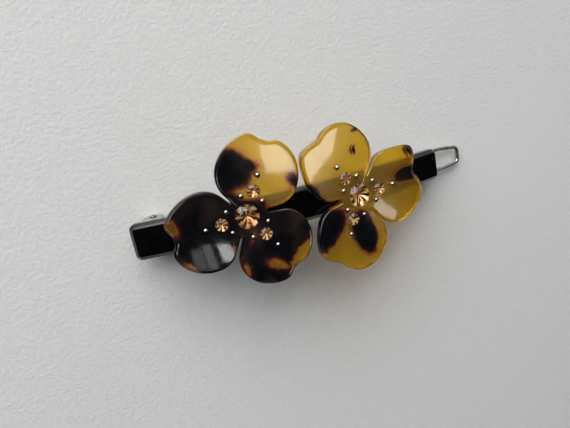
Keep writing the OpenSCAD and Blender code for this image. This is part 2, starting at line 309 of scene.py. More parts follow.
# %% The bar's material
black_acetate, tree, principled = shader("black_acetate")
cloud = object_noise(tree, 0.25, detail=4.0)
scuffs = object_noise(tree, 1.5, detail=6.0, roughness=0.7, stretch=(0.15, 1, 1))
tree.links.new(ramp(tree, cloud, (0.3, (0.0008, 0.0008, 0.0012)), (0.75, (0.003, 0.0026, 0.0026))),
               principled.inputs["Base Color"])
tree.links.new(ramp(tree, scuffs, (0.35, 0.06), (0.75, 0.2)), principled.inputs["Roughness"])
principled.inputs["IOR"].default_value = 1.49
bumped(tree, principled, cloud, 0.02)
print("black acetate ready")

# %% [markdown]
# ## The bar
# The real bar is sawn from sheet, chamfered all round its top and bent warm over a former. It could be a cube
# with bevels and a bend modifier. Here it is stacked outlines of a rounded rectangle, which give the wide
# chamfer that wraps the corners, and every point is then bent round the bow.

# %% Build the bar
TOP_CHAMFER, UNDER_CHAMFER, CORNER = 0.9, 0.3, 1.4


def half_outline(inset, along_steps=72, corner_steps=8):
    """Upper half of the bar's outline, from its left end to its right end."""
    length, width = BAR_LENGTH / 2 - inset, BAR_WIDTH / 2 - inset
    radius = max(CORNER - inset, 0.35)
    corner = [math.radians(180 - 90 * k / corner_steps) for k in range(corner_steps + 1)]
    left = [(-length + radius + radius * math.cos(a), width - radius + radius * math.sin(a)) for a in corner]
    span = length - radius
    middle = [(-span + 2 * span * k / along_steps, width) for k in range(1, along_steps)]
    return left + middle + [(-x, y) for x, y in reversed(left)]


layers = [(UNDER_CHAMFER, 0), (0, UNDER_CHAMFER), (0, BAR_THICK - TOP_CHAMFER), (TOP_CHAMFER, BAR_THICK)]
points, count = [], 0
for inset, height in layers:
    upper = half_outline(inset)
    count = len(upper)
    points += [(x, y, height) for x, y in upper] + [(x, -y, height) for x, y in reversed(upper)]
faces = ring_faces(0, len(layers), 2 * count)
for start in (0, (len(layers) - 1) * 2 * count):
    last = start + 2 * count - 1
    faces += [(start + k, start + k + 1, last - k - 1, last - k) for k in range(count - 1)]
bar = rounded_edges(new_mesh("bar_polished", points, faces), 0.14, sharp=25)
for corner in bar.data.vertices:
    x, y, z = corner.co
    corner.co = placed([(0, y, z)], on_bow(x))[0]
ready(bar, black_acetate, "black_acetate", "bar_body", "bar")

# %% [markdown]
# ## Tortoiseshell sheet
# The flowers' sheet is honey-coloured and clear enough to show the bar beneath, with near-black blotches that
# fade through red and amber. An image would place the blotches fastest. Here each blotch is an ellipse on
# the flower's own plan, bent by noise, and the distance to its edge picks the colour and the clearness.
# Light passes as glass does, and rays from lamps go straight through a honey tint so that shadows stay warm.

# %% Tortoiseshell material
PLAN_SIZE = 40.0
HONEY = (0.82, 0.52, 0.02)


def blotch_distance(tree, place, blotch):
    """Distance in millimetres from an ellipse's edge, negative inside it."""
    x, y, half_length, half_width, turn, softness = blotch
    inside = node(tree, "ShaderNodeMapping", {"vector_type": "TEXTURE"}, i0=place, Location=(x, y, 0),
                  Rotation=(0, 0, math.radians(turn)), Scale=(half_length, half_width, 1))
    reach = node(tree, "ShaderNodeVectorMath", {"operation": "LENGTH"}, i0=inside.outputs[0])
    size = math.sqrt(half_length * half_width) / softness
    edge = node(tree, "ShaderNodeMath", {"operation": "MULTIPLY_ADD"}, i0=reach.outputs["Value"], i1=size,
                i2=-size)
    return edge.outputs[0]


def nearest(tree, distances, blend=0.9):
    """The distance to several blotches that flow into one another."""
    joined = distances[0]
    for distance in distances[1:]:
        joined = node(tree, "ShaderNodeMath", {"operation": "SMOOTH_MIN"}, i0=joined, i1=distance,
                      i2=blend).outputs[0]
    return joined


def tortoiseshell(name, dark, windows):
    """Honey sheet with dark blotches, and amber windows that open within them."""
    material, tree, principled = shader(name)
    plan = node(tree, "ShaderNodeUVMap", {"uv_map": "plan"}).outputs[0]
    flat = node(tree, "ShaderNodeVectorMath", {"operation": "MULTIPLY_ADD"}, i0=plan,
                i1=(PLAN_SIZE, PLAN_SIZE, 0), i2=(-PLAN_SIZE / 2, -PLAN_SIZE / 2, 0)).outputs[0]
    for scale, amount in ((0.35, 2.2), (1.3, 0.7)):
        wander = node(tree, "ShaderNodeTexNoise", Vector=flat, Scale=scale, Detail=2.0)
        centred = node(tree, "ShaderNodeVectorMath", {"operation": "SUBTRACT"}, i0=wander.outputs["Color"],
                       i1=(0.5, 0.5, 0.5))
        flat = node(tree, "ShaderNodeVectorMath", {"operation": "MULTIPLY_ADD"}, i0=centred.outputs[0],
                    i1=(amount, amount, 0), i2=flat).outputs[0]
    depth = nearest(tree, [blotch_distance(tree, flat, b) for b in dark])
    if windows:
        opened = nearest(tree, [blotch_distance(tree, flat, b) for b in windows])
        outside = node(tree, "ShaderNodeMath", {"operation": "MULTIPLY"}, i0=opened, i1=-1.0).outputs[0]
        depth = node(tree, "ShaderNodeMath", {"operation": "MAXIMUM"}, i0=depth, i1=outside).outputs[0]
    scale = node(tree, "ShaderNodeMapRange", Value=depth)
    scale.inputs["From Min"].default_value = -1.5
    scale.inputs["From Max"].default_value = 2.5
    factor = scale.outputs["Result"]
    colour = ramp(tree, factor, (0.0, (0.0015, 0.0015, 0.003)), (0.30, (0.008, 0.004, 0.005)),
                  (0.40, (0.060, 0.010, 0.006)), (0.48, (0.30, 0.075, 0.010)), (0.60, (0.66, 0.32, 0.03)),
                  (0.85, HONEY))
    clouds = node(tree, "ShaderNodeTexNoise", Vector=flat, Scale=0.22, Detail=3.0).outputs["Fac"]
    shade = ramp(tree, clouds, (0.3, (0.86, 0.84, 0.80)), (0.7, (1.0, 1.0, 1.0)))
    tinted = node(tree, "ShaderNodeMix", {"data_type": "RGBA", "blend_type": "MULTIPLY"}, i0=1.0, i6=colour,
                  i7=shade).outputs[2]
    drift = node(tree, "ShaderNodeTexNoise", Vector=flat, Scale=0.13, Detail=1.0).outputs["Fac"]
    haze = ramp(tree, drift, (0.52, (0.0, 0.0, 0.0)), (0.72, (0.018, 0.010, 0.006)))
    tinted = node(tree, "ShaderNodeMix", {"data_type": "RGBA", "blend_type": "ADD"}, i0=1.0, i6=tinted,
                  i7=haze).outputs[2]
    tree.links.new(tinted, principled.inputs["Base Color"])
    clear = ramp(tree, factor, (0.30, 0.0), (0.62, 0.88))
    tree.links.new(clear, principled.inputs["Transmission Weight"])
    rubbed = object_noise(tree, 0.8, detail=5.0, roughness=0.65)
    tree.links.new(ramp(tree, rubbed, (0.4, 0.16), (0.8, 0.26)), principled.inputs["Roughness"])
    tree.links.new(ramp(tree, rubbed, (0.4, 0.02), (0.8, 0.08)), principled.inputs["Coat Roughness"])
    principled.inputs["Coat Weight"].default_value = 1.0
    principled.inputs["Coat IOR"].default_value = 1.49
    principled.inputs["Specular IOR Level"].default_value = 0.1
    principled.inputs["IOR"].default_value = 1.49
    bumped(tree, principled, object_noise(tree, 0.18, detail=1.0), 0.012)
    see_through = node(tree, "ShaderNodeBsdfTransparent", Color=tinted)
    lamp_ray = node(tree, "ShaderNodeLightPath").outputs["Is Shadow Ray"]
    share = node(tree, "ShaderNodeMath", {"operation": "MULTIPLY"}, i0=lamp_ray, i1=clear).outputs[0]
    both = node(tree, "ShaderNodeMixShader", i0=share, i1=principled.outputs[0], i2=see_through.outputs[0])
    tree.links.new(both.outputs[0], tree.nodes["Material Output"].inputs["Surface"])
    return material


# Each blotch: place on the flower's plan, half length, half width, turn, softness of its edge.
LEFT_DARK = [(-9.3, -1.2, 9.6, 9.8, 0, 1), (-2.0, 10.3, 4.4, 4.0, -25, 1.2), (2.0, 10.4, 1.9, 1.2, -10, 1),
             (0, 0, 4.6, 3.2, 0, 1), (7.5, -5.0, 6.5, 5.4, -20, 1), (3.4, -11.0, 6.8, 6.0, 0, 1),
             (11.3, 5.4, 0.7, 1.3, 10, 1)]
LEFT_WINDOWS = [(-15.6, 1.4, 1.5, 2.3, 15, 1), (-13.6, -8.0, 2.6, 0.8, -52, 1), (-4.3, -6.4, 0.6, 1.2, -10, 1),
                (10.4, -10.6, 5.4, 1.6, 42, 1), (4.3, -11.7, 2.6, 1.2, -35, 1), (-2.4, -11.3, 0.8, 1.7, 5, 1)]
RIGHT_DARK = [(-0.3, -8.6, 2.8, 5.2, 11, 0.8), (-10.2, -5.4, 5.6, 3.7, 30, 1), (13.2, 1.9, 2.8, 1.7, 8, 0.8),
              (0.1, 10.4, 0.3, 0.65, 0, 0.35), (0.7, 15.0, 0.35, 0.25, 0, 0.3), (14.6, 7.6, 0.3, 1.0, 10, 0.8),
              (-11.5, 3.0, 1.0, 3.2, 40, 1)]
left_shell = tortoiseshell("tortoiseshell_left", LEFT_DARK, LEFT_WINDOWS)
right_shell = tortoiseshell("tortoiseshell_right", RIGHT_DARK, [])
print("tortoiseshell blotches:", len(LEFT_DARK) + len(RIGHT_DARK))

# %% [markdown]
# ## The flowers
# Each flower is one piece of 2 mm sheet, sawn to three notched petals, tumbled until its rims are round and
# pressed warm so that the petals rise. A flat shape with Solidify and Bevel would come close. The rim is
# written as a formula round each petal and carried inwards as rings, so the cup and the soft rim are exact.
# The seats of the stones and pins are then drilled with one Boolean.

# %% Petal rims
PETAL_MIDDLE, HUB_RADIUS, NOTCH_ANGLE = 8.8, 4.8, 16.0
CUP, FLAT_RADIUS = 0.0058, 1.5
# Each petal: half width, reach, sideways shift, notch direction, swelling beside it, notch depth,
# and how much it narrows to the hub on its right and left side.
FLOWERS = {
    "left": {"along": -15.2, "across": 1.0, "turn": 184.8,
             "petals": [(8.7, 17.6, 0.6, -7, -0.5, 1.7, 1.6, 2.6), (8.9, 16.5, -0.6, -1, -0.1, 1.0, 2.6, 2.3),
                        (8.9, 17.7, 0.0, 5, 0.4, 1.3, 1.8, 1.3)]},
    "right": {"along": 11.1, "across": -0.9, "turn": 123.1,
              "petals": [(9.0, 18.5, -1.0, 11, 1.2, 1.1, 1.6, 2.0), (9.3, 17.4, 1.0, -24, -1.0, 0.7, 2.6, 2.8),
                         (8.8, 17.6, -0.6, 30, 2.4, 0.8, 2.9, 3.3)]},
}


def rise(radius):
    """Height of the cupped sheet above its flat middle."""
    return CUP * np.maximum(0, radius - FLAT_RADIUS) ** 2


def petal_outline(petal, turn):
    """Points round one petal's blade, seen from above."""
    half_width, reach, shift, notch_at, swelling, notch_depth, right_taper, left_taper = petal
    phi = np.arange(-150, 150.1, 2.0)
    x = (phi - notch_at) / NOTCH_ANGLE
    tip = np.where(abs(phi) < 90, (reach - PETAL_MIDDLE - half_width) * np.cos(np.radians(phi)) ** 2, 0)
    taper = np.where(phi < 0, right_taper, left_taper)
    base = np.where(abs(phi) > 90, taper * ((abs(phi) - 90) / 54) ** 2, 0)
    rim = half_width + tip - base - notch_depth * np.exp(-abs(x) ** 3)
    rim = rim + swelling * x * np.exp(-(x / 1.7) ** 2)
    blade = np.stack([PETAL_MIDDLE + rim * np.cos(np.radians(phi)), shift + rim * np.sin(np.radians(phi))], 1)
    closed = np.vstack([blade, [[0, 0]], blade[:1]])
    c, s = math.cos(turn), math.sin(turn)
    return closed @ np.array([[c, s], [-s, c]])


def flower_outline(flower, steps=540):
    """The flower's rim as points at even directions from its centre."""
    angles = np.arange(steps) * 2 * np.pi / steps
    heading = np.stack([np.cos(angles), np.sin(angles)], 1)[:, None, :]
    reach = np.full(steps, HUB_RADIUS)
    for k, petal in enumerate(flower["petals"]):
        rim = petal_outline(petal, math.radians(flower["turn"] + 120 * k))
        start, edge = rim[None, :-1], (rim[1:] - rim[:-1])[None]
        slope = heading[..., 0] * edge[..., 1] - heading[..., 1] * edge[..., 0]
        slope = np.where(abs(slope) < 1e-12, 1e-12, slope)
        far = (start[..., 0] * edge[..., 1] - start[..., 1] * edge[..., 0]) / slope
        part = (start[..., 0] * heading[..., 1] - start[..., 1] * heading[..., 0]) / slope
        far = np.where((part >= 0) & (part <= 1), far, 0)
        reach = np.maximum(reach, far.max(1))
    return heading[:, 0] * reach[:, None]


print("left flower reaches", round(float(np.hypot(*flower_outline(FLOWERS["left"]).T).max()), 1), "mm")

# %% [markdown]
# ### Where the stones and pins sit
# Each petal has one stone, one pin beyond it and one on either side, and each flower has a large middle stone.
# These places come from the same pattern turned three times, as a drilling jig would give them.

# %% Seats
CENTRE_STONE, PETAL_STONE, PETAL_STONE_AT = 5.3, 2.8, 5.6
BALL, BALL_LIFT, SHANK = 1.1, 0.2, 0.7
OUTER_PIN_AT, FLANK_PIN_AT, FLANK_ANGLE = 9.1, 4.6, 30.5
PIN_LENGTH, PIN_IN_BAR = 1.6, 1.6
COUNTERSINK, SEAT_PLAY = 0.36, 0.03
STONE_BACK = 0.26  # depth of a stone below its girdle, for each millimetre across


def polar(radius, degrees):
    """A point on the flower's cupped top."""
    angle = math.radians(degrees)
    return (radius * math.cos(angle), radius * math.sin(angle), float(rise(radius)))


def stone_places(flower):
    """Diameter and place of each stone: the middle one, then one for each petal."""
    around = [(PETAL_STONE, polar(PETAL_STONE_AT, flower["turn"] + 120 * k)) for k in range(3)]
    return [(CENTRE_STONE, (0, 0, 0))] + around


def pin_places(flower):
    """Places of the nine pins: three outer ones, then two beside each petal's stone."""
    turns = [flower["turn"] + 120 * k for k in range(3)]
    outer = [polar(OUTER_PIN_AT, turn) for turn in turns]
    return outer + [polar(FLANK_PIN_AT, turn + side * FLANK_ANGLE) for turn in turns for side in (-1, 1)]


def pin_reach(flower, place):
    """Pins over the bar are long enough to hold the flower to it."""
    over_bar = abs(flower["across"] + place[1]) < BAR_WIDTH / 2 - 1
    return FLOWER_THICK + PIN_IN_BAR if over_bar else PIN_LENGTH


def girdle(diameter):
    """Height of a stone's straight girdle."""
    return 0.3 * diameter / CENTRE_STONE


print("pins on each flower:", len(pin_places(FLOWERS["left"])))

# %% [markdown]
# ### Press and drill the sheet
# The rim gets the same small round above and below, as tumbling leaves it. The cutters for the seats are joined
# into one mesh, so a single Boolean on closed meshes drills the flower.

# %% Build the flowers
TOP_ROUND, UNDER_ROUND = 0.4, 0.4


def sheet_mesh(flower, rings=24, round_steps=6):
    """Corners and faces of the cupped sheet, in the flower's own frame."""
    rim = flower_outline(flower)
    along = np.roll(rim, -1, 0) - np.roll(rim, 1, 0)
    outward = np.stack([along[:, 1], -along[:, 0]], 1)
    outward /= np.linalg.norm(outward, axis=1)[:, None]
    quarter = np.linspace(0, math.pi / 2, round_steps)
    loops = []

    def loop(flat, drop):
        radius = np.hypot(*flat.T)
        loops.append(np.column_stack([flat, rise(radius) - drop]))

    inner = rim - outward * TOP_ROUND
    for k in range(1, rings):
        loop(inner * k / rings, 0)
    for a in quarter:
        loop(rim - outward * TOP_ROUND * (1 - math.sin(a)), TOP_ROUND * (1 - math.cos(a)))
    for a in quarter:
        loop(rim - outward * UNDER_ROUND * (1 - math.cos(a)), FLOWER_THICK - UNDER_ROUND * (1 - math.sin(a)))
    inner = rim - outward * UNDER_ROUND
    for k in range(rings - 1, 0, -2):
        loop(inner * k / rings, FLOWER_THICK)
    steps = len(rim)
    points = [(0, 0, 0)] + [tuple(p) for ring in loops for p in ring] + [(0, 0, -FLOWER_THICK)]
    faces = ring_faces(1, len(loops), steps)
    last, low = len(points) - 1, 1 + (len(loops) - 1) * steps
    for k in range(steps):
        after = (k + 1) % steps
        faces += [(0, 1 + k, 1 + after), (last, low + after, low + k)]
    return points, faces


def seat_cutters(flower):
    """One mesh of all the drills and countersinks."""
    points, faces = [], []

    def drill(profile, place):
        some, sides = turned(profile, 40)
        faces.extend(tuple(len(points) + c for c in face) for face in sides)
        points.extend((x + place[0], y + place[1], z + place[2]) for x, y, z in some)

    for diameter, place in stone_places(flower):
        r, low = diameter / 2 + SEAT_PLAY, -girdle(diameter)
        foot = low - STONE_BACK * diameter - SEAT_PLAY
        drill([(0, foot), (0.06 * diameter, foot), (r, low), (r, -0.12), (r + 0.15, 0.03), (r + 0.15, 2), (0, 2)],
              place)
    for place in pin_places(flower):
        r, low = SHANK / 2 + SEAT_PLAY, BALL_LIFT - BALL / 2 - SEAT_PLAY
        wide = (BALL + COUNTERSINK) / 2
        foot = -pin_reach(flower, place) - SEAT_PLAY
        drill([(0, foot), (r, foot), (r, low), (wide - 0.2, low), (wide, low + 0.25), (wide, 1), (0, 1)], place)
    return points, faces


for side, flower in FLOWERS.items():
    flower["matrix"] = on_bow(flower["along"], flower["across"], BAR_THICK + FLOWER_THICK)
    petals = new_mesh(side + "_petals", *sheet_mesh(flower), sharp=40)
    drills = new_mesh(side + "_drills", *seat_cutters(flower))
    cut = petals.modifiers.new("seats", "BOOLEAN")
    cut.operation, cut.solver, cut.object = "DIFFERENCE", "MANIFOLD", drills
    applied(petals, sharp=35)
    bpy.data.objects.remove(drills)
    plan = petals.data.uv_layers.new(name="plan")
    corners = [petals.data.vertices[loop.vertex_index].co for loop in petals.data.loops]
    plan.data.foreach_set("uv", [c for p in corners for c in (p.x / PLAN_SIZE + 0.5, p.y / PLAN_SIZE + 0.5)])
    bent = placed([v.co for v in petals.data.vertices], flower["matrix"])
    for vertex, place in zip(petals.data.vertices, bent):
        vertex.co = place
    shell = left_shell if side == "left" else right_shell
    ready(petals, shell, "tortoiseshell_acetate", "bar_body", side + "_flower")

# %% [markdown]
# ## Stones
# The stones are pointed-back glass with a foil coat that throws the light back through peach glass. Only cut
# facets sparkle, so they are modelled as a round brilliant: table, crown kites, girdle and pavilion. The crown
# is glass and the pavilion is foil, in one closed mesh. Each pavilion facet's foil colour gets a random painted
# brightness from near black to cream: painted glints and painted shade in place of the light the facets
# reflect. As in the sheet, rays from lamps go straight through the glass, so that the foil is lit.

# %% Stone materials
topaz, tree, principled = shader("topaz_glass")
streaks = object_noise(tree, 0.5, detail=2.0)
tree.links.new(ramp(tree, streaks, (0.3, (0.98, 0.80, 0.60)), (0.7, (1.0, 0.90, 0.76))),
               principled.inputs["Base Color"])
principled.inputs["Transmission Weight"].default_value = 1.0
principled.inputs["Roughness"].default_value = 0.02
principled.inputs["IOR"].default_value = 1.56
see_through = node(tree, "ShaderNodeBsdfTransparent", Color=(1.0, 0.86, 0.68, 1))
lamp_ray = node(tree, "ShaderNodeLightPath").outputs["Is Shadow Ray"]
both = node(tree, "ShaderNodeMixShader", i0=lamp_ray, i1=principled.outputs[0], i2=see_through.outputs[0])
tree.links.new(both.outputs[0], tree.nodes["Material Output"].inputs["Surface"])

foil_and_painted_glints, tree, principled = shader("foil_with_painted_glints")
# Painted glints and shade: each facet's stored brightness picks a foil colour from near black to cream.
painted_facet_light = node(tree, "ShaderNodeAttribute", {"attribute_name": "painted_facet_light"}).outputs["Fac"]
tree.links.new(ramp(tree, painted_facet_light, (0.28, (0.006, 0.004, 0.003)), (0.5, (0.16, 0.06, 0.02)),
                    (0.7, (0.75, 0.40, 0.17)), (0.9, (1.0, 0.86, 0.52))), principled.inputs["Base Color"])
principled.inputs["Metallic"].default_value = 0.5
tree.links.new(ramp(tree, object_noise(tree, 2.0), (0.3, 0.12), (0.7, 0.3)), principled.inputs["Roughness"])
print("stone materials ready")


# %% Cut the stones
def brilliant(diameter):
    """Corners and faces of a round brilliant; the number of crown faces comes last."""
    d, low = diameter, -girdle(diameter)

    def ring(count, radius, height, offset=0.0):
        return [(radius * math.cos(2 * math.pi * (k + offset) / count),
                 radius * math.sin(2 * math.pi * (k + offset) / count), height) for k in range(count)]

    points = ring(8, 0.3 * d, 0.2 * d, 0.5) + ring(8, 0.41 * d, 0.12 * d) + ring(16, 0.5 * d, 0)
    points += ring(16, 0.5 * d, low) + ring(16, 0.22 * d, low - 0.16 * d, 0.5) + [(0, 0, low - STONE_BACK * d)]
    star, upper, under, pavilion, culet = 8, 16, 32, 48, 64
    faces = [tuple(range(8))]
    for k in range(8):
        after, edge = (k + 1) % 8, (2 * k - 1) % 16
        faces += [((k - 1) % 8, star + k, k), (k, star + k, upper + 2 * k + 1, star + after),
                  (star + k, upper + edge, upper + 2 * k), (star + k, upper + 2 * k, upper + 2 * k + 1)]
    faces += [(upper + k, under + k, under + (k + 1) % 16, upper + (k + 1) % 16) for k in range(16)]
    crown = len(faces)
    for k in range(16):
        after = (k + 1) % 16
        faces += [(culet, pavilion + after, pavilion + k), (pavilion + k, under + after, under + k),
                  (pavilion + k, pavilion + after, under + after)]
    return points, faces, crown


chance = np.random.default_rng(7)
for side, flower in FLOWERS.items():
    names = [side + "_centre_stone"] + [f"{side}_petal_stone_{k}" for k in (1, 2, 3)]
    for name, (diameter, place) in zip(names, stone_places(flower)):
        points, faces, crown = brilliant(diameter)
        spin = Matrix.Rotation(chance.uniform(0, 2 * math.pi), 4, "Z")
        seat = flower["matrix"] @ Matrix.Translation(place) @ spin
        stone = new_mesh(name + "_cut", placed(points, seat), faces)
        stone.data.shade_flat()
        stone.data.materials.append(topaz)
        stone.data.materials.append(foil_and_painted_glints)
        stone.data.polygons.foreach_set("material_index", [int(k >= crown) for k in range(len(faces))])
        facet_light_layer = stone.data.attributes.new("painted_facet_light", "FLOAT", "FACE")
        # Painted glints and shade: a random brightness per facet, raised on every other group of three pavilion
        # faces.
        painted_facet_tone = [0.45 * ((k - crown) // 3 % 2) + chance.uniform(0, 0.55) for k in range(len(faces))]
        facet_light_layer.data.foreach_set("value", painted_facet_tone)
        ready(stone, None, "topaz_stone", "bar_body", name)

# %% [markdown]
# ## Bright steel and nickel silver
# Ball pins and the catch are bright polished steel. The wire, bracket and catch plate are drawn and stamped,
# so fine lines run along them. Both have noise in their roughness, because a perfect mirror gives metal away.


# %% Metals
def metal(name, dark, light, smooth, rough, lines):
    """Metal whose colour and roughness wander; lines stretches the pattern along X."""
    material, tree, principled = shader(name)
    grain = object_noise(tree, 2.5, detail=5.0, roughness=0.6, stretch=(lines, 1, 1))
    tree.links.new(ramp(tree, grain, (0.3, dark), (0.7, light)), principled.inputs["Base Color"])
    tree.links.new(ramp(tree, grain, (0.3, smooth), (0.7, rough)), principled.inputs["Roughness"])
    principled.inputs["Metallic"].default_value = 1.0
    bumped(tree, principled, grain, 0.006)
    return material


bright_steel = metal("bright_steel", (0.34, 0.33, 0.31), (0.52, 0.51, 0.48), 0.12, 0.26, 1.0)
nickel_silver = metal("nickel_silver", (0.34, 0.32, 0.28), (0.54, 0.51, 0.45), 0.18, 0.34, 0.05)
print("metals ready")

# %% [markdown]
# ## Ball pins and rivets
# Eighteen ball-headed pins and four domed rivets are the same idea: a round head on a shank at a given place
# and direction. Copying objects would work. A Geometry Nodes tree does it once, with the sizes as inputs, and
# reads each pin's direction and length from the points it is given.


# %% The headed-pin tree
def pin_tree():
    """Geometry Nodes: a rounded head and a shank on every point."""
    tree = bpy.data.node_groups.new("headed_pins", "GeometryNodeTree")
    face = tree.interface
    face.new_socket("Geometry", in_out="INPUT", socket_type="NodeSocketGeometry")
    for name in ("Head Diameter", "Head Height", "Head Lift", "Shank Diameter"):
        face.new_socket(name, in_out="INPUT", socket_type="NodeSocketFloat")
    face.new_socket("Material", in_out="INPUT", socket_type="NodeSocketMaterial")
    face.new_socket("Geometry", in_out="OUTPUT", socket_type="NodeSocketGeometry")

    def add(kind, settings=None, **values):
        return node(tree, kind, settings, **values)

    given = add("NodeGroupInput").outputs
    axis = add("GeometryNodeInputNamedAttribute", {"data_type": "FLOAT_VECTOR"}, Name="axis").outputs["Attribute"]
    reach = add("GeometryNodeInputNamedAttribute", {"data_type": "FLOAT"}, Name="reach").outputs["Attribute"]
    facing = add("FunctionNodeAlignRotationToVector", {"axis": "Z"}, Vector=axis).outputs[0]
    half = add("ShaderNodeMath", {"operation": "MULTIPLY"}, i0=given["Head Diameter"], i1=0.5).outputs[0]
    squash = add("ShaderNodeMath", {"operation": "DIVIDE"}, i0=given["Head Height"], i1=given["Head Diameter"])
    flat = add("ShaderNodeCombineXYZ", X=1.0, Y=1.0, Z=squash.outputs[0]).outputs[0]
    lift = add("ShaderNodeCombineXYZ", Z=given["Head Lift"]).outputs[0]
    ball = add("GeometryNodeMeshUVSphere", Segments=24, Rings=14, Radius=half).outputs["Mesh"]
    head = add("GeometryNodeTransform", Geometry=ball, Translation=lift, Scale=flat).outputs[0]
    thin = add("ShaderNodeMath", {"operation": "MULTIPLY"}, i0=given["Shank Diameter"], i1=0.5).outputs[0]
    rod = add("GeometryNodeMeshCylinder", Vertices=20, Radius=thin, Depth=1.0).outputs["Mesh"]
    shank = add("GeometryNodeTransform", Geometry=rod, Translation=(0, 0, -0.5)).outputs[0]
    long = add("ShaderNodeCombineXYZ", X=1.0, Y=1.0, Z=reach).outputs[0]
    heads = add("GeometryNodeInstanceOnPoints", Points=given["Geometry"], Instance=head, Rotation=facing)
    shanks = add("GeometryNodeInstanceOnPoints", Points=given["Geometry"], Instance=shank, Rotation=facing,
                 Scale=long)
    joined = add("GeometryNodeJoinGeometry")
    tree.links.new(heads.outputs[0], joined.inputs[0])
    tree.links.new(shanks.outputs[0], joined.inputs[0])
    real = add("GeometryNodeRealizeInstances", Geometry=joined.outputs[0]).outputs[0]
    finished = add("GeometryNodeSetMaterial", Geometry=real, Material=given["Material"]).outputs[0]
    add("NodeGroupOutput", Geometry=finished)
    return tree


def headed_pins(name, places, axes, reaches, material, **sizes):
    """A plain mesh of headed pins at places in metres."""
    piece = new_mesh(name, places, [])
    for label, kind, values in (("axis", "FLOAT_VECTOR", axes), ("reach", "FLOAT", reaches)):
        layer = piece.data.attributes.new(label, kind, "POINT")
        layer.data.foreach_set("vector" if kind == "FLOAT_VECTOR" else "value", np.asarray(values, float).ravel())
    work = piece.modifiers.new("pins", "NODES")
    work.node_group = PINS
    for socket in PINS.interface.items_tree:
        if socket.in_out == "INPUT" and socket.name in sizes:
            work[socket.identifier] = sizes[socket.name] * MM
        if socket.in_out == "INPUT" and socket.name == "Material":
            work[socket.identifier] = material
    return applied(piece, sharp=40)


PINS = pin_tree()
for side, flower in FLOWERS.items():
    spots = pin_places(flower)
    lean = tuple(flower["matrix"].to_3x3() @ Vector((0, 0, 1)))
    pins = headed_pins(side + "_ball_pins", placed(spots, flower["matrix"]), [lean] * len(spots),
                       [pin_reach(flower, p) * MM for p in spots], bright_steel,
                       **{"Head Diameter": BALL, "Head Height": BALL, "Head Lift": BALL_LIFT,
                          "Shank Diameter": SHANK})
    ready(pins, None, "bright_steel", "bar_body", *[f"{side}_ball_pin_{k}" for k in range(1, 10)])

# %% [markdown]
# ## Rivets, bracket and catch
# A stamped bracket with two ears and a small catch plate are riveted to the bar's underside. Their CAD shapes
# are right, so copies of them are merged, and a narrow bevel takes the sharpness off their edges. The rivets
# come from the pin tree with flattened heads, and the catch is a ball turned with its neck.

# %% Clasp hardware
SHEET = 0.5
HINGE_ALONG, CATCH_ALONG = -BAR_LENGTH / 2 + 4.6, BAR_LENGTH / 2 - 5.2
RIVET, RIVET_GRIP = 1.0, 1.8
RIVET_HEAD, RIVET_DOME = 1.8, 0.9
HINGE_PLATE, CATCH_PLATE = 5.2, 5.4


def plate_gap(length):
    """A flat plate touches the bowed underside only at its ends."""
    return length * length / 8 / INNER_RADIUS + 0.01


for name, cad_node in (("bracket_stamped", "hinge_bracket"), ("catch_plate_stamped", "catch_plate")):
    mesh = NODES[cad_node].data.copy()
    shape = bmesh.new()
    shape.from_mesh(mesh)
    bmesh.ops.remove_doubles(shape, verts=shape.verts, dist=1e-7)
    bmesh.ops.dissolve_limit(shape, angle_limit=0.01, verts=shape.verts, edges=shape.edges)
    shape.to_mesh(mesh)
    shape.free()
    stamped = bpy.data.objects.new(name, mesh)
    bpy.context.scene.collection.objects.link(stamped)
    rounded_edges(stamped, 0.06 * MM, sharp=40)
    ready(stamped, nickel_silver, "nickel_silver", "bar_body", cad_node)

for name, along, spacing, length in (("hinge_rivets", HINGE_ALONG, 3.0, HINGE_PLATE),
                                     ("catch_rivets", CATCH_ALONG, 3.8, CATCH_PLATE)):
    under = on_bow(along)
    depth = SHEET + plate_gap(length)
    heads = placed([(x, 0, -depth) for x in (-spacing / 2, spacing / 2)], under)
    inward = under.to_3x3() @ Vector((0, 0, -1))
    rivets = headed_pins(name + "_domed", heads, [tuple(inward)] * 2, [(depth + RIVET_GRIP) * MM] * 2,
                         nickel_silver, **{"Head Diameter": RIVET_HEAD, "Head Height": RIVET_DOME,
                                           "Head Lift": 0.0, "Shank Diameter": RIVET})
    ready(rivets, None, "nickel_silver", "bar_body", name)

CATCH_BALL, CATCH_DROP, CATCH_NECK = 3.9, 3.0, 2.0
neck_angle = math.asin(CATCH_NECK / CATCH_BALL)
arc = [neck_angle + (math.pi - neck_angle) * k / 24 for k in range(24)]
catch_foot = -SHEET - plate_gap(CATCH_PLATE)
profile = [(0, catch_foot), (CATCH_NECK / 2, catch_foot)]
profile += [(CATCH_BALL / 2 * math.sin(a), CATCH_BALL / 2 * math.cos(a) - CATCH_DROP) for a in arc]
profile.append((0, -CATCH_BALL / 2 - CATCH_DROP))
points, faces = turned(profile)
catch = new_mesh("catch_turned", placed(points, on_bow(CATCH_ALONG)), faces, sharp=40)
ready(catch, bright_steel, "bright_steel", "bar_body", "catch_ball")

# %% [markdown]
# ## The spring wire
# One length of wire makes the hinge pins, two bowed legs and the rounded closed end that a finger lifts. The
# path is worked out as arcs and straights, then a Geometry Nodes tree sweeps a round section along it. A
# bevelled curve object would do too, but the tree keeps the wire's diameter as a named input.

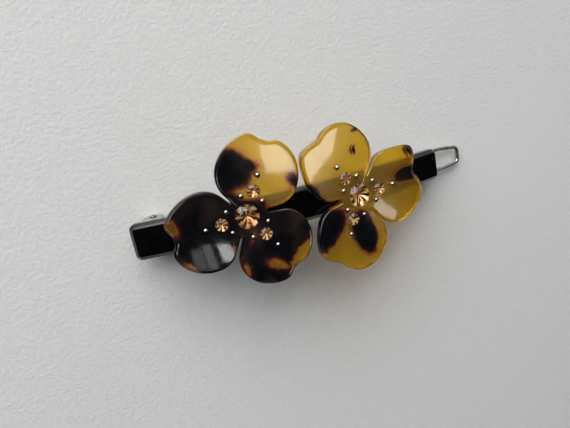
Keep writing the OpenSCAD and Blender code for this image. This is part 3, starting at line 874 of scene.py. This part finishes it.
# %% Bend and sweep the wire
WIRE, LEG_Y, BEND, WIRE_BOW = 1.0, 2.75, 0.7, 1.2
LOOP_REACH, LOOP_CORNER, LOOP_END, TOE = 15.6, 1.3, 4.4, 4.7
PIVOT_DROP, HEAD, HEAD_THICK, PIVOT_PLAY = 2.4, 1.5, 0.3, 0.05
pivot_angle = HINGE_ALONG / BOW_RADIUS
pivot = Vector(((INNER_RADIUS - PIVOT_DROP) * math.sin(pivot_angle), 0,
                (INNER_RADIUS - PIVOT_DROP) * math.cos(pivot_angle) - INNER_RADIUS))
leg_chord = INNER_RADIUS * math.sin(CATCH_ALONG / BOW_RADIUS) - pivot.x
leg_radius = leg_chord ** 2 / 8 / WIRE_BOW + WIRE_BOW / 2
leg_angle = 2 * math.asin(leg_chord / 2 / leg_radius)
toe_angle = math.atan((2 * LEG_Y - LOOP_END) / 2 / TOE)


def wire_half():
    """The wire's middle line from one hinge end to the middle of the closed end."""
    end_y = BAR_WIDTH / 2 + PIVOT_PLAY + HEAD_THICK
    line = [(0, end_y + (LEG_Y + BEND - end_y) * k / 3, 0) for k in range(3)]
    for k in range(9):
        a = math.pi / 2 * k / 8
        line.append((BEND - BEND * math.cos(a), LEG_Y + BEND - BEND * math.sin(a), 0))
    for k in range(1, 25):
        a = leg_angle * k / 24
        line.append((BEND + leg_radius * math.sin(a), LEG_Y, leg_radius * (math.cos(a) - 1)))
    loop = [(LOOP_REACH - TOE - LOOP_CORNER, LEG_Y)]
    knee = Vector(loop[0])
    ahead = Vector((math.cos(toe_angle), -math.sin(toe_angle)))
    loop += [tuple(knee + ahead * TOE * k / 4) for k in range(1, 5)]
    aside = Vector((-math.sin(toe_angle), -math.cos(toe_angle)))
    centre = knee + ahead * TOE + aside * LOOP_CORNER
    for k in range(1, 13):
        a = (math.pi / 2 - toe_angle) * k / 12
        loop.append(tuple(centre - aside * LOOP_CORNER * math.cos(a) + ahead * LOOP_CORNER * math.sin(a)))
    tip = Matrix.Translation(line[-1]) @ Matrix.Rotation(leg_angle, 4, "Y")
    line += [tuple(tip @ Vector((x, y - LEG_Y, 0))) for x, y in loop]
    return line


half_line = wire_half()
line = half_line + [(x, -y, z) for x, y, z in reversed(half_line)]
wire_matrix = Matrix.Translation(pivot) @ Matrix.Rotation(-leg_angle / 2, 4, "Y")

sweep = bpy.data.node_groups.new("swept_wire", "GeometryNodeTree")
sweep.interface.new_socket("Geometry", in_out="INPUT", socket_type="NodeSocketGeometry")
diameter_input = sweep.interface.new_socket("Wire Diameter", in_out="INPUT", socket_type="NodeSocketFloat")
material_input = sweep.interface.new_socket("Material", in_out="INPUT", socket_type="NodeSocketMaterial")
sweep.interface.new_socket("Geometry", in_out="OUTPUT", socket_type="NodeSocketGeometry")
given = node(sweep, "NodeGroupInput").outputs
path = node(sweep, "GeometryNodeMeshToCurve", Mesh=given["Geometry"]).outputs[0]
radius = node(sweep, "ShaderNodeMath", {"operation": "MULTIPLY"}, i0=given["Wire Diameter"], i1=0.5).outputs[0]
section = node(sweep, "GeometryNodeCurvePrimitiveCircle", Resolution=20, Radius=radius).outputs[0]
tube = node(sweep, "GeometryNodeCurveToMesh", Curve=path)
sweep.links.new(section, tube.inputs["Profile Curve"])
tube.inputs["Fill Caps"].default_value = True
real = node(sweep, "GeometryNodeRealizeInstances", Geometry=tube.outputs[0]).outputs[0]
finished = node(sweep, "GeometryNodeSetMaterial", Geometry=real, Material=given["Material"]).outputs[0]
node(sweep, "NodeGroupOutput", Geometry=finished)

wire = new_mesh("spring_wire", placed(line, wire_matrix), [])
shape = bmesh.new()
shape.from_mesh(wire.data)
shape.verts.ensure_lookup_table()
for a, b in zip(shape.verts[:-1], shape.verts[1:]):
    shape.edges.new((a, b))
shape.to_mesh(wire.data)
shape.free()
work = wire.modifiers.new("sweep", "NODES")
work.node_group = sweep
work[diameter_input.identifier] = WIRE * MM
work[material_input.identifier] = nickel_silver
applied(wire, sharp=50)
ready(wire, None, "nickel_silver", "wire", "wire_loop")

# %% [markdown]
# The wire's two ends are hammered into small flat heads outside the ears, which keep it in the bracket.

# %% Heads on the wire's ends
inside = BAR_WIDTH / 2 + PIVOT_PLAY
edge = 0.08
outside = inside + HEAD_THICK
profile = [(0, inside), (HEAD / 2 - edge, inside), (HEAD / 2, inside + edge), (HEAD / 2, outside - edge),
           (HEAD / 2 - edge, outside), (0, outside)]
points, faces = turned(profile, 32)
both, sides = [], []
for sign in (-1, 1):
    sides += [tuple(len(both) + c for c in face) for face in faces]
    both += [(x, sign * z, y) for x, y, z in points]
heads = new_mesh("wire_heads", placed(both, wire_matrix), sides, sharp=40)
ready(heads, nickel_silver, "nickel_silver", "wire")
